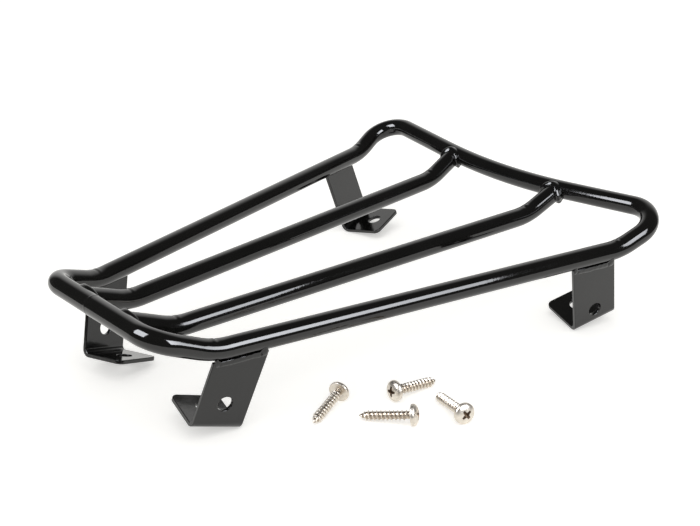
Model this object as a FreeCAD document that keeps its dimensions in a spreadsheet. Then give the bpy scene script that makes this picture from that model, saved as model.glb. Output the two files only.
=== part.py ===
import FreeCAD, Part
import Sketcher
import math
import os
from FreeCAD import Placement, Rotation, Vector

# A welded tube luggage rack. X runs from the narrow end to the wide end, Z is
# up, and the feet stand on Z = 0. The left side is +Y.

doc = FreeCAD.newDocument("luggage_rack")
sheet = doc.addObject("Spreadsheet::Sheet", "dims")

DIMS = [
    ("tube_radius", 6.0, "outside radius of every tube"),
    ("tube_bore", 4.5, "inside radius of every tube"),
    ("deck_height", 53.5, "tube centre line above the floor"),
    ("rail_half", 90.75, "rail to centre line at X = 0"),
    ("rail_angle", 13.0, "plan angle of each rail"),
    ("bar_half", 34.2, "inner bar to centre line at X = 0"),
    ("bar_angle", 4.7, "plan angle of each inner bar"),
    ("fold_radius", 45.0, "radius of the bends that lift the ends"),
    ("narrow_line", 134.8, "bend line of the narrow end"),
    ("narrow_rise", 23.1, "lift angle of the narrow end"),
    ("narrow_reach", 35.2, "bend line to narrow crossbar, along the slope"),
    ("narrow_corner", 16.8, "corner radius at the narrow end"),
    ("wide_line", 131.8, "bend line of the wide end"),
    ("wide_rise", 22.8, "lift angle of the wide end"),
    ("wide_reach", 28.2, "bend line to middle of back rail, along the slope"),
    ("wide_sweep", 7.6, "each half of the back rail sweeps out by this"),
    ("wide_arc", 438.0, "radius at the middle of the back rail"),
    ("wide_corner", 18.1, "corner radius at the wide end"),
    ("seam_place", 5.5, "Y of the butt seam in the narrow crossbar"),
    ("seam_gap", 1.6, "gap between the two tube ends"),
    ("seam_bead", 6.45, "outside radius of the seam weld"),
    ("joint_bead", 8.0, "radius of the collar weld round a bar end"),
    ("foot_width", 30.8, "width of the bracket strip"),
    ("foot_thick", 2.5, "thickness of the bracket strip"),
    ("foot_bend", 2.5, "inside radius of the bracket bend"),
    ("foot_tab", 31.8, "length of the foot tab over the bend"),
    ("foot_tall", 60.0, "length of the upright before it is trimmed"),
    ("foot_corner", 4.0, "corner radius at the end of the tab"),
    ("hole_radius", 4.5, "screw holes in the brackets"),
    ("narrow_hole", 17.0, "upright hole above the outer corner, narrow end"),
    ("wide_hole", 12.0, "upright hole above the outer corner, wide end"),
    ("hole_in", 19.5, "tab hole from the outer corner"),
    ("foot_offset", 5.5, "outer face of a bracket outside the rail centre"),
    ("foot_top", 5.0, "top of the upright below the rail centre"),
    ("narrow_foot", 119.4, "narrow brackets meet the rail at this X"),
    ("narrow_pitch", 18.6, "slant of the narrow brackets along the rail"),
    ("narrow_lean", 7.2, "inward lean of the narrow brackets"),
    ("wide_foot", 108.7, "wide brackets meet the rail at this X"),
    ("wide_pitch", 13.9, "slant of the wide brackets along the rail"),
    ("wide_lean", 10.3, "inward lean of the wide brackets"),
    ("bead_outer", 2.1, "radius of the outer bracket weld"),
    ("bead_inner", 1.7, "radius of the inner bracket weld"),
    ("bead_short", 2.0, "a bracket weld stops this far from each edge"),
    ("screw_long", 30.0, "screw length under the head"),
    ("screw_root", 2.15, "core radius of the screw"),
    ("screw_crest", 3.0, "crest radius of the screw thread"),
    ("screw_pitch", 2.4, "pitch of the screw thread"),
    ("screw_point", 4.5, "length of the tapered point"),
    ("head_radius", 6.25, "radius of the pan head"),
    ("head_tall", 4.1, "height of the pan head"),
    ("recess_deep", 2.6, "depth of the cross recess"),
    ("recess_wing", 3.1, "half length of the cross recess"),
    ("recess_half", 0.65, "half width of a recess wing"),
]

for row, (alias, value, note) in enumerate(DIMS, start=1):
    sheet.set("A%d" % row, note)
    sheet.set("B%d" % row, str(value))
    sheet.setAlias("B%d" % row, alias)
doc.recompute()


def dim(alias):
    return float(getattr(sheet, alias))


def bind(obj, prop, text):
    obj.setExpression(prop, text)


# ---------------------------------------------------------------- centre lines

NARROW = -dim("narrow_line")
WIDE = dim("wide_line")
NARROW_END = NARROW - dim("narrow_reach")
WIDE_END = WIDE + dim("wide_reach")
RAIL_SLOPE = math.tan(math.radians(dim("rail_angle")))
BAR_SLOPE = math.tan(math.radians(dim("bar_angle")))
SWEEP = math.radians(dim("wide_sweep"))


def on_rack(along, across):
    """A centre line point from its flat layout: both ends slope up."""
    lift = dim("deck_height")
    if along < NARROW:
        rise = math.radians(dim("narrow_rise"))
        slope = NARROW - along
        return Vector(NARROW - slope * math.cos(rise), across, lift + slope * math.sin(rise))
    if along > WIDE:
        rise = math.radians(dim("wide_rise"))
        slope = along - WIDE
        return Vector(WIDE + slope * math.cos(rise), across, lift + slope * math.sin(rise))
    return Vector(along, across, lift)


def rail_y(along):
    return dim("rail_half") + RAIL_SLOPE * along


def bar_y(along):
    return dim("bar_half") + BAR_SLOPE * along


def rounded(points):
    """Line and arc edges through (point, radius) pairs; the ends stay sharp."""
    edges = []
    start = points[0][0]
    for index in range(1, len(points) - 1):
        corner, radius = points[index]
        back = (points[index - 1][0] - corner).normalize()
        ahead = (points[index + 1][0] - corner).normalize()
        turn = math.pi - back.getAngle(ahead)
        reach = radius * math.tan(turn / 2)
        enter = corner + back * reach
        leave = corner + ahead * reach
        inward = (back + ahead).normalize()
        middle = corner + inward * (radius / math.cos(turn / 2) - radius)
        edges.append(Part.LineSegment(start, enter).toShape())
        edges.append(Part.Arc(enter, middle, leave).toShape())
        start = leave
    edges.append(Part.LineSegment(start, points[-1][0]).toShape())
    return edges


def tube_rod(name, edges, alias):
    """A round rod along a centre line, its radius bound to the sheet."""
    spine = doc.addObject("Part::Feature", name + "_line")
    spine.Shape = Part.Wire(edges)
    heading = edges[0].tangentAt(edges[0].FirstParameter)
    ring = doc.addObject("Part::Circle", name + "_ring")
    bind(ring, "Radius", "dims." + alias)
    ring.Placement = Placement(edges[0].Vertexes[0].Point, Rotation(Vector(0, 0, 1), heading))
    rod = doc.addObject("Part::Sweep", name)
    rod.Sections = [ring]
    rod.Spine = (spine, ["Edge%d" % (count + 1) for count in range(len(edges))])
    rod.Solid = True
    rod.Frenet = False
    return rod


def cut(name, base, tool):
    result = doc.addObject("Part::Cut", name)
    result.Base = base
    result.Tool = tool
    return result


def common(name, first, second):
    result = doc.addObject("Part::MultiCommon", name)
    result.Shapes = [first, second]
    return result


def cylinder(name, radius, height, start, heading):
    """A cylinder from start along heading; radius is a sheet alias."""
    rod = doc.addObject("Part::Cylinder", name)
    bind(rod, "Radius", "dims." + radius)
    rod.Height = height
    rod.Placement = Placement(start, Rotation(Vector(0, 0, 1), heading))
    return rod


# The back rail is two straight halves that sweep outwards, joined by a wide arc.
ARC_DROP = dim("wide_arc") * (1 / math.cos(SWEEP) - 1)
BACK_MID = WIDE_END - ARC_DROP
OUT_STEP = rail_y(WIDE) - RAIL_SLOPE * WIDE
BACK_CORNER = (BACK_MID + math.tan(SWEEP) * OUT_STEP) / (1 - math.tan(SWEEP) * RAIL_SLOPE)

half = [
    (on_rack(NARROW_END, rail_y(NARROW_END)), dim("narrow_corner")),
    (on_rack(NARROW, rail_y(NARROW)), dim("fold_radius")),
    (on_rack(WIDE, rail_y(WIDE)), dim("fold_radius")),
    (on_rack(BACK_CORNER, rail_y(BACK_CORNER)), dim("wide_corner")),
]
mirrored = [(Vector(point.x, -point.y, point.z), radius) for point, radius in half]
loop = half + [(on_rack(BACK_MID, 0), dim("wide_arc"))] + mirrored[::-1]

# ----------------------------------------------------------------- outer frame

seam_y = dim("seam_place")
half_gap = dim("seam_gap") / 2
seam_left = on_rack(NARROW_END, seam_y + half_gap)
seam_right = on_rack(NARROW_END, seam_y - half_gap)
frame_path = rounded([(seam_left, 0)] + loop + [(seam_right, 0)])
frame_solid = tube_rod("frame_rod", frame_path, "tube_radius")
frame_bore = tube_rod("frame_core", frame_path, "tube_bore")
outer_frame = cut("outer_frame", frame_solid, frame_bore)

# One bead closes the two tube ends of the frame.
seam_disc = cylinder("seam_disc", "seam_bead", 1.0, seam_right, Vector(0, 1, 0))
bind(seam_disc, "Height", "dims.seam_gap")
seam_core = cylinder("seam_core", "tube_bore", 1.0, seam_right, Vector(0, 1, 0))
bind(seam_core, "Height", "dims.seam_gap")
weld_frame_seam = cut("weld_frame_seam", seam_disc, seam_core)

# ------------------------------------------------------------------ inner bars

BACK_CENTRE = WIDE_END + dim("wide_arc")
bars = {}
beads = {}
narrow_rod = cylinder("narrow_rod", "tube_radius", 120.0, on_rack(NARROW_END, -60), Vector(0, 1, 0))
narrow_fat = cylinder("narrow_fat", "joint_bead", 120.0, on_rack(NARROW_END, -60), Vector(0, 1, 0))

# A short stretch of the back rail, used to shape the bar ends and their welds.
rise = math.radians(dim("wide_rise"))
uphill = Vector(math.cos(rise), 0, math.sin(rise))
arc_low = on_rack(BACK_CENTRE - dim("wide_arc") * math.cos(SWEEP), -dim("wide_arc") * math.sin(SWEEP))
arc_top = on_rack(WIDE_END, 0)
arc_high = Vector(arc_low.x, -arc_low.y, arc_low.z)
back_path = [Part.Arc(arc_low, arc_top, arc_high).toShape()]
back_rod = tube_rod("back_rod", back_path, "tube_radius")
back_fat = tube_rod("back_fat", back_path, "joint_bead")

for side, sign in (("left", 1), ("right", -1)):
    along = WIDE_END
    for _ in range(20):
        reach = math.sqrt(dim("wide_arc") ** 2 - bar_y(along) ** 2)
        along = BACK_CENTRE - reach
    far_end = along
    points = [
        (on_rack(NARROW_END, sign * bar_y(NARROW_END)), 0),
        (on_rack(NARROW, sign * bar_y(NARROW)), dim("fold_radius")),
        (on_rack(WIDE, sign * bar_y(WIDE)), dim("fold_radius")),
        (on_rack(far_end, sign * bar_y(far_end)), 0),
    ]
    path = rounded(points)
    solid = tube_rod("bar_rod_" + side, path, "tube_radius")
    core = tube_rod("bar_core_" + side, path, "tube_bore")
    shell = cut("bar_shell_" + side, solid, core)
    ended = cut("bar_ended_" + side, shell, narrow_rod)
    bars[side] = cut("inner_bar_" + side, ended, back_rod)
    ends = {
        "narrow": (points[0][0], points[1][0], narrow_rod, narrow_fat),
        "wide": (points[3][0], points[2][0], back_rod, back_fat),
    }
    for end, (tip, inner, thin, fat) in ends.items():
        label = end + "_" + side
        heading = (inner - tip).normalize()
        collar = cylinder("collar_" + label, "joint_bead", 14.0, tip, heading)
        plug = cylinder("plug_" + label, "tube_radius", 16.0, tip, heading)
        saddle = common("saddle_" + label, collar, fat)
        outside = cut("saddle_out_" + label, saddle, plug)
        beads[label] = cut("weld_bar_" + label, outside, thin)

# -------------------------------------------------------------------- brackets


def origin_plane(body, role):
    for feature in body.Origin.OriginFeatures:
        if feature.Role == role:
            return feature
    raise ValueError(role)


def new_sketch(body, name, role):
    sketch = body.newObject("Sketcher::SketchObject", name)
    sketch.AttachmentSupport = [(origin_plane(body, role), "")]
    sketch.MapMode = "FlatFace"
    return sketch


def fix_point(sketch, geo, which, across, up):
    """Tie a sketch point to the origin with two sheet expressions."""
    for kind, axis, text in (("DistanceX", -2, across), ("DistanceY", -1, up)):
        if text == "0":
            sketch.addConstraint(Sketcher.Constraint("PointOnObject", geo, which, axis))
            continue
        value = sketch.evalExpression(text)
        value = float(getattr(value, "Value", value))
        number = sketch.addConstraint(Sketcher.Constraint(kind, -1, 1, geo, which, value))
        sketch.setExpression("Constraints[%d]" % number, text)


def polygon(sketch, corners):
    """A closed outline whose corners are pairs of sheet expressions."""
    places = []
    for across, up in corners:
        pair = [sketch.evalExpression(text) for text in (across, up)]
        pair = [float(getattr(value, "Value", value)) for value in pair]
        places.append(Vector(pair[0], pair[1], 0))
    count = len(places)
    for index in range(count):
        line = Part.LineSegment(places[index], places[(index + 1) % count])
        sketch.addGeometry(line, False)
    for index in range(count):
        following = (index + 1) % count
        sketch.addConstraint(Sketcher.Constraint("Coincident", index, 2, following, 1))
        fix_point(sketch, index, 1, corners[index][0], corners[index][1])


def circle(sketch, across, up, radius):
    sketch.addGeometry(Part.Circle(Vector(0, 0, 0), Vector(0, 0, 1), dim(radius)), False)
    number = sketch.addConstraint(Sketcher.Constraint("Radius", 0, dim(radius)))
    sketch.setExpression("Constraints[%d]" % number, "dims." + radius)
    fix_point(sketch, 0, 3, across, up)


def edges_where(shape, test):
    return ["Edge%d" % (n + 1) for n, edge in enumerate(shape.Edges) if test(edge)]


def check_removed(body, before, what):
    doc.recompute()
    if body.Shape.Volume >= before - 1:
        raise ValueError(what + " removed nothing")


def bracket_body(name, slant, side_hole):
    """The bent strip: the corner of the outer faces is the body's origin."""
    body = doc.addObject("PartDesign::Body", name)
    outline = new_sketch(body, name + "_outline", "YZ_Plane")
    wall = "dims.foot_thick"
    corners = [
        ("0", "0"),
        ("dims.foot_tab", "0"),
        ("dims.foot_tab", wall),
        (wall, wall),
        (wall, "dims.foot_tall"),
        ("0", "dims.foot_tall"),
    ]
    polygon(outline, corners)
    strip = body.newObject("PartDesign::Pad", name + "_strip")
    strip.Profile = outline
    strip.Midplane = True
    bind(strip, "Length", "dims.foot_width")
    doc.recompute()

    def bend_edge(place):
        def test(edge):
            middle = edge.CenterOfMass
            level = abs(middle.y - place) < 0.01 and abs(middle.z - place) < 0.01
            return level and abs(middle.x) < 0.01
        return test

    outer_bend = body.newObject("PartDesign::Fillet", name + "_outer_bend")
    outer_bend.Base = (strip, edges_where(strip.Shape, bend_edge(0)))
    bind(outer_bend, "Radius", "dims.foot_bend + dims.foot_thick")
    doc.recompute()
    inner_bend = body.newObject("PartDesign::Fillet", name + "_inner_bend")
    found = edges_where(outer_bend.Shape, bend_edge(dim("foot_thick")))
    inner_bend.Base = (outer_bend, found)
    bind(inner_bend, "Radius", "dims.foot_bend")
    doc.recompute()

    def tab_corner(edge):
        middle = edge.CenterOfMass
        at_end = abs(middle.y - dim("foot_tab")) < 0.01
        at_side = abs(abs(middle.x) - dim("foot_width") / 2) < 0.01
        return at_end and at_side and edge.Length < dim("foot_thick") + 0.1

    tab_round = body.newObject("PartDesign::Fillet", name + "_tab_round")
    tab_round.Base = (inner_bend, edges_where(inner_bend.Shape, tab_corner))
    bind(tab_round, "Radius", "dims.foot_corner")
    doc.recompute()

    holes = (("side_hole", "XZ_Plane", side_hole), ("tab_hole", "XY_Plane", "dims.hole_in"))
    for tag, role, place in holes:
        before = body.Shape.Volume
        drawing = new_sketch(body, name + "_" + tag + "_plan", role)
        circle(drawing, "0", place, "hole_radius")
        pocket = body.newObject("PartDesign::Pocket", name + "_" + tag)
        pocket.Profile = drawing
        pocket.Midplane = True
        bind(pocket, "Length", "3 * dims.foot_thick")
        check_removed(body, before, tag)

    # The top is trimmed level with the rail, so it slopes in the body's own frame.
    before = body.Shape.Volume
    trim = new_sketch(body, name + "_trim_plan", "XZ_Plane")
    rise_text, reach_text = slant
    corners = [
        ("-dims.foot_width", rise_text + " - " + reach_text),
        ("dims.foot_width", rise_text + " + " + reach_text),
        ("dims.foot_width", "2 * dims.foot_tall"),
        ("-dims.foot_width", "2 * dims.foot_tall"),
    ]
    polygon(trim, corners)
    top = body.newObject("PartDesign::Pocket", name + "_trim")
    top.Profile = trim
    top.Midplane = True
    bind(top, "Length", "6 * dims.foot_thick")
    check_removed(body, before, "trim")
    return body


def foot_frame(end, sign):
    """Directions and corner of one bracket on the rail of the sign side."""
    pitch = -dim("narrow_pitch") if end == "narrow" else dim("wide_pitch")
    place = -dim("narrow_foot") if end == "narrow" else dim("wide_foot")
    turn = Rotation(Vector(0, 0, 1), -dim("rail_angle"))
    turn = turn * Rotation(Vector(1, 0, 0), dim(end + "_lean"))
    turn = turn * Rotation(Vector(0, 1, 0), -pitch)
    width = turn.multVec(Vector(1, 0, 0))
    upward = turn.multVec(Vector(0, 0, 1))
    inward = turn.multVec(Vector(0, 1, 0))
    # The lowest point is under the bend, at the lower end of the strip.
    bend = dim("foot_bend") + dim("foot_thick")
    under = abs(width.z) * dim("foot_width") / 2
    under = under + bend * math.sqrt(1 - width.z ** 2) - bend * (upward.z + inward.z)
    angle = math.radians(dim("rail_angle"))
    outward = Vector(-math.sin(angle), -math.cos(angle), 0)
    hinge = Vector(place, -rail_y(place), dim("deck_height")) + outward * dim("foot_offset")
    length = (dim("deck_height") - under) / upward.z
    corner = hinge - upward * length
    if sign > 0:
        # The left side is the mirror image: the strip is symmetric across its width.
        width = Vector(-width.x, width.y, -width.z)
        upward = Vector(upward.x, -upward.y, upward.z)
        inward = Vector(inward.x, -inward.y, inward.z)
        corner = Vector(corner.x, -corner.y, corner.z)
    spin = Rotation(width, inward, upward, "ZXY")
    return corner, spin, length


brackets = {}
for side, sign in (("left", 1), ("right", -1)):
    for end in ("narrow", "wide"):
        label = end + "_" + side
        corner, spin, length = foot_frame(end, sign)
        width = spin.multVec(Vector(1, 0, 0))
        upward = spin.multVec(Vector(0, 0, 1))
        # Height of the level top edge above the corner, in the strip's own plane.
        level = dim("deck_height") - dim("foot_top") - corner.z
        rise_text = "%.4f" % (level / upward.z)
        reach_text = "%.4f" % (-dim("foot_width") * width.z / upward.z)
        body = bracket_body("strip_" + label, (rise_text, reach_text), "dims." + end + "_hole")
        body.Placement = Placement(corner, spin)
        angle = math.radians(dim("rail_angle"))
        run = Vector(math.cos(angle), sign * math.sin(angle), 0)
        place = -dim("narrow_foot") if end == "narrow" else dim("wide_foot")
        rail = Vector(place, sign * rail_y(place), dim("deck_height"))
        tool = cylinder("rail_" + label, "tube_radius", 80.0, rail - run * 40, run)
        brackets[label] = cut("bracket_" + label, body, tool)

        # Fillet welds in the two corners between the strip and the rail.
        outward = Vector(math.sin(angle) * -1, sign * math.cos(angle), 0)
        lean = math.tan(math.radians(dim(end + "_lean")))
        drop = dim("foot_top")
        outer_face = dim("foot_offset") - drop * lean
        inner_face = outer_face - dim("foot_thick") - 0.3
        shift = Vector(upward.x, upward.y, 0) * (drop / upward.z)
        middle = rail - run * (shift.dot(run))
        seam = dim("foot_width") / 2 - dim("bead_short")
        spots = (
            ("outer", outer_face - 0.1, drop + 0.9, "bead_outer"),
            ("inner", inner_face - 0.2, drop + 1.5, "bead_inner"),
        )
        for place_name, away, down, alias in spots:
            start = middle + outward * away - Vector(0, 0, down) - run * seam
            rod = cylinder("bead_" + place_name + "_" + label, alias, 2 * seam, start, run)
            clear = cut("bead_clear_" + place_name + "_" + label, rod, tool)
            name = "weld_" + label + "_" + place_name
            beads[name] = cut(name, clear, brackets[label])

doc.recompute()

# ---------------------------------------------------------------------- screws


def screw_body(name):
    """Pan head screw: the underside of the head is at Z = 0, the point below."""
    body = doc.addObject("PartDesign::Body", name)
    outline = new_sketch(body, name + "_outline", "XZ_Plane")
    tip = "-dims.screw_long"
    corners = [
        ("0", tip),
        ("dims.screw_root", "dims.screw_point - dims.screw_long"),
        ("dims.screw_root", "0"),
        ("dims.head_radius - 0.4", "0"),
        ("dims.head_radius", "0.4"),
        ("dims.head_radius", "1.3"),
        ("dims.head_radius - 0.35", "2.1"),
        ("dims.head_radius - 1.15", "2.9"),
        ("dims.head_radius - 2.45", "dims.head_tall - 0.55"),
        ("dims.head_radius - 4", "dims.head_tall - 0.12"),
        ("0", "dims.head_tall"),
    ]
    polygon(outline, corners)
    turned = body.newObject("PartDesign::Revolution", name + "_turned")
    turned.Profile = outline
    turned.ReferenceAxis = (outline, ["V_Axis"])
    turned.Angle = 360
    doc.recompute()

    ridge = new_sketch(body, name + "_ridge", "XZ_Plane")
    foot = "dims.screw_point - dims.screw_long"
    corners = [
        ("dims.screw_root - 0.4", foot + " - 0.75"),
        ("dims.screw_crest", foot + " - 0.12"),
        ("dims.screw_crest", foot + " + 0.12"),
        ("dims.screw_root - 0.4", foot + " + 0.75"),
    ]
    polygon(ridge, corners)
    thread = body.newObject("PartDesign::AdditiveHelix", name + "_thread")
    thread.Profile = ridge
    thread.ReferenceAxis = (ridge, ["V_Axis"])
    thread.Mode = 0
    bind(thread, "Pitch", "dims.screw_pitch")
    bind(thread, "Height", "dims.screw_long - dims.screw_point - 1.5")
    thread.Reversed = False
    doc.recompute()

    before = body.Shape.Volume
    cross = new_sketch(body, name + "_cross", "XY_Plane")
    wing = "dims.recess_wing"
    slim = "dims.recess_half"
    corners = [
        (wing, slim), (slim, slim), (slim, wing), ("-" + slim, wing),
        ("-" + slim, slim), ("-" + wing, slim), ("-" + wing, "-" + slim),
        ("-" + slim, "-" + slim), ("-" + slim, "-" + wing), (slim, "-" + wing),
        (slim, "-" + slim), (wing, "-" + slim),
    ]
    polygon(cross, corners)
    cross.AttachmentOffset = Placement(Vector(0, 0, dim("head_tall") + 0.4), Rotation())
    recess = body.newObject("PartDesign::Pocket", name + "_recess")
    recess.Profile = cross
    bind(recess, "Length", "dims.recess_deep + 0.4")
    check_removed(body, before, "recess")
    return body


# Each screw lies on the rim of its head and the crest of its last thread.
# Head place on the floor, heading of the point, and turn about its own axis.
SCREWS = [
    ("screw_one", -61.1, -75.2, -158.9, 20.0),
    ("screw_two", -47.3, -121.0, 126.7, 50.0),
    ("screw_three", -35.1, -95.9, -4.7, 10.0),
    ("screw_four", -24.4, -138.6, 74.4, 35.0),
]
rest_at = dim("screw_long") - dim("screw_point")
rest_tilt = math.atan2(dim("head_radius") - dim("screw_crest"), rest_at)
screws = []
for name, place_x, place_y, heading, roll in SCREWS:
    body = screw_body(name)
    spin = Rotation(Vector(0, 0, 1), heading)
    spin = spin * Rotation(Vector(0, 1, 0), -90 + math.degrees(rest_tilt))
    spin = spin * Rotation(Vector(0, 0, 1), roll)
    lift = dim("head_radius") * math.cos(rest_tilt)
    body.Placement = Placement(Vector(place_x, place_y, lift), spin)
    screws.append(body)

doc.recompute()

# ----------------------------------------------------------------- named nodes

nodes = {
    "outer_frame": outer_frame,
    "weld_frame_seam": weld_frame_seam,
    "inner_bar_left": bars["left"],
    "inner_bar_right": bars["right"],
}
for label in ("narrow_left", "narrow_right", "wide_left", "wide_right"):
    nodes["bracket_" + label] = brackets[label]
    nodes["weld_bar_" + label] = beads[label]
    for face in ("outer", "inner"):
        name = "weld_" + label + "_" + face
        nodes["weld_foot_" + label + "_" + face] = beads[name]
for body in screws:
    nodes[body.Name] = body

for name, item in nodes.items():
    item.Label = name
doc.recompute()

for item in doc.Objects:
    if "Invalid" in item.State or "Error" in item.State:
        raise ValueError("%s is %s" % (item.Name, item.State))
for name, item in nodes.items():
    shape = item.Shape
    if shape.isNull() or not shape.isValid() or shape.Volume <= 0:
        raise ValueError("bad shape: " + name)

os.makedirs("parts", exist_ok=True)
for name, item in nodes.items():
    item.Shape.exportStep("parts/" + name + ".step")
    box = item.Shape.BoundBox
    print("%-32s solids %d volume %9.1f z %.2f to %.2f" % (
        name, len(item.Shape.Solids), item.Shape.Volume, box.ZMin, box.ZMax))
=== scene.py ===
import math

import bmesh
import bpy
import numpy as np
from mathutils import Matrix, Vector, noise


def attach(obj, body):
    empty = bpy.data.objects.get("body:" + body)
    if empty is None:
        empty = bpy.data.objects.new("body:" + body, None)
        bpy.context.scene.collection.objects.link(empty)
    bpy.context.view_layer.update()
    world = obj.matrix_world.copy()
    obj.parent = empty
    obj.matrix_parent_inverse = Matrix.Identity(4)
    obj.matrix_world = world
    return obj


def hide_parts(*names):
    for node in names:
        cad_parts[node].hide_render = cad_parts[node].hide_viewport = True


# A welded tube luggage rack in gloss black powder coat, with its four loose
# screws. X runs from the narrow end to the wide end and Z is up. The shapes are
# in millimetres and are turned into metres as each piece is made. The materials
# and the studio are in metres.

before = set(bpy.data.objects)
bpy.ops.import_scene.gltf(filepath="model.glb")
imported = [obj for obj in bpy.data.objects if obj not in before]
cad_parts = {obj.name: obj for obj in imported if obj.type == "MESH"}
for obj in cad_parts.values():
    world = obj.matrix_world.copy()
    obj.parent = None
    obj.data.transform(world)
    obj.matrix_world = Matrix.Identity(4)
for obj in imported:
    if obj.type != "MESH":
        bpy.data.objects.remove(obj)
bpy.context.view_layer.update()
MM = 0.001

# ----------------------------------------------------------------------- sizes

# The driving sizes of the rack. TUBE is the outside radius with its coat.
TUBE = 6.1
DECK = 53.5
# Each rail and each inner bar: its place across the middle, and its spread.
RAIL_HALF = 90.75
RAIL_ANGLE = math.radians(13.0)
BAR_HALF = 34.2
BAR_ANGLE = math.radians(4.7)
# The four tubes fold up at NARROW and at WIDE, and end at the crossbar and at
# the back rail, whose places are measured along the slope.
FOLD_RADIUS = 45.0
NARROW = -134.8
NARROW_RISE = math.radians(23.1)
NARROW_END = NARROW - 35.2
NARROW_CORNER = 16.8
WIDE = 131.8
WIDE_RISE = math.radians(22.8)
WIDE_END = WIDE + 28.2
WIDE_SWEEP = math.radians(7.6)
WIDE_ARC = 438.0
WIDE_CORNER = 18.1
SEAM_PLACE = 5.5
SEAM_GAP = 1.6

# The bracket strip. HOLE_IN is the tab's hole, measured from the outer corner.
FOOT_WIDTH = 30.8
FOOT_THICK = 2.5
FOOT_BEND = 2.5
FOOT_TAB = 31.8
FOOT_TALL = 60.0
FOOT_CORNER = 4.0
HOLE_RADIUS = 4.5
HOLE_IN = 19.5
# The upright's outer face stands this far out from the rail's centre line, and
# its top is this far below it.
FOOT_OFFSET = 5.5
FOOT_TOP = 5.0
# end: (x on the rail, slant along the rail, inward lean, height of the side hole)
FEET = {
    "narrow": (-119.4, math.radians(-18.6), math.radians(7.2), 17.0),
    "wide": (108.7, math.radians(13.9), math.radians(10.3), 12.0),
}

# The screws. The length is without the head.
SCREW_LONG = 30.0
SCREW_ROOT = 2.15
SCREW_CREST = 3.0
SCREW_PITCH = 2.4
SCREW_POINT = 4.5
HEAD_RADIUS = 6.25
HEAD_TALL = 4.1
HEAD_RIM = 1.3
RECESS_DEEP = 2.6
RECESS_WING = 3.1
RECESS_HALF = 0.65
# name: (x, y, heading, roll) of the middle of its head, on the floor
SCREWS = {
    "screw_one": (-61.1, -75.2, -158.9, 20.0),
    "screw_two": (-47.3, -121.0, 126.7, 50.0),
    "screw_three": (-35.1, -95.9, -4.7, 10.0),
    "screw_four": (-24.4, -138.6, 74.4, 35.0),
}

# ------------------------------------------------------------------- materials

COAT_IOR = 1.55
COAT_DARK = (0.0024, 0.0023, 0.0021)
COAT_LIGHT = (0.0050, 0.0048, 0.0043)
DUST = (0.35, 0.34, 0.32, 1.0)
PAPER_DARK = (0.925, 0.92, 0.90)
PAPER_LIGHT = (0.935, 0.93, 0.91)
PAPER_GLOW = 0.46
# The screw recess's dark colours are painted shade.
RECESS_SHADE_DARK = (0.09, 0.06, 0.04)
RECESS_SHADE_LIGHT = (0.24, 0.175, 0.12)
WARM_WHITE = (1.0, 0.995, 0.98, 1.0)
# Turning marks run round the screw, so their noise is squeezed along Z.
TURNED = (0.15, 0.15, 4.0)


class Nodes:
    """A material's node tree, with short calls for the nodes used here."""

    def __init__(self, name):
        self.material = bpy.data.materials.new(name)
        self.material.use_nodes = True
        self.tree = self.material.node_tree
        self.shader = self.tree.nodes["Principled BSDF"]
        self.place = self.tree.nodes.new("ShaderNodeTexCoord").outputs["Object"]

    def noise(self, scale, detail=2.0, rough=0.5, place=None):
        node = self.tree.nodes.new("ShaderNodeTexNoise")
        node.inputs["Scale"].default_value = scale
        node.inputs["Detail"].default_value = detail
        node.inputs["Roughness"].default_value = rough
        self.tree.links.new(place or self.place, node.inputs["Vector"])
        return node.outputs["Fac"]

    def span(self, value, low, high, start=0.3, end=0.7):
        """Low to high, as the value goes from start to end."""
        node = self.tree.nodes.new("ShaderNodeMapRange")
        node.inputs["From Min"].default_value = start
        node.inputs["From Max"].default_value = end
        node.inputs["To Min"].default_value = low
        node.inputs["To Max"].default_value = high
        self.tree.links.new(value, node.inputs["Value"])
        return node.outputs["Result"]

    def colours(self, value, *stops):
        """A colour ramp over (place, colour) stops."""
        node = self.tree.nodes.new("ShaderNodeValToRGB")
        ramp = node.color_ramp
        while len(ramp.elements) < len(stops):
            ramp.elements.new(0.5)
        for element, (place, colour) in zip(ramp.elements, stops):
            element.position = place
            element.color = (*colour, 1.0)
        self.tree.links.new(value, node.inputs["Fac"])
        return node.outputs["Color"]

    def bump(self, height, distance, below=None):
        """Relief of that depth in metres, on top of the relief below."""
        node = self.tree.nodes.new("ShaderNodeBump")
        node.inputs["Distance"].default_value = distance
        self.tree.links.new(height, node.inputs["Height"])
        if below is not None:
            self.tree.links.new(below, node.inputs["Normal"])
        return node.outputs["Normal"]

    def stretched(self, factors):
        """The piece's own coordinates, scaled along each axis."""
        node = self.tree.nodes.new("ShaderNodeMapping")
        node.inputs["Scale"].default_value = factors
        self.tree.links.new(self.place, node.inputs["Vector"])
        return node.outputs["Vector"]

    def feed(self, name, value):
        self.tree.links.new(value, self.shader.inputs[name])


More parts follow.
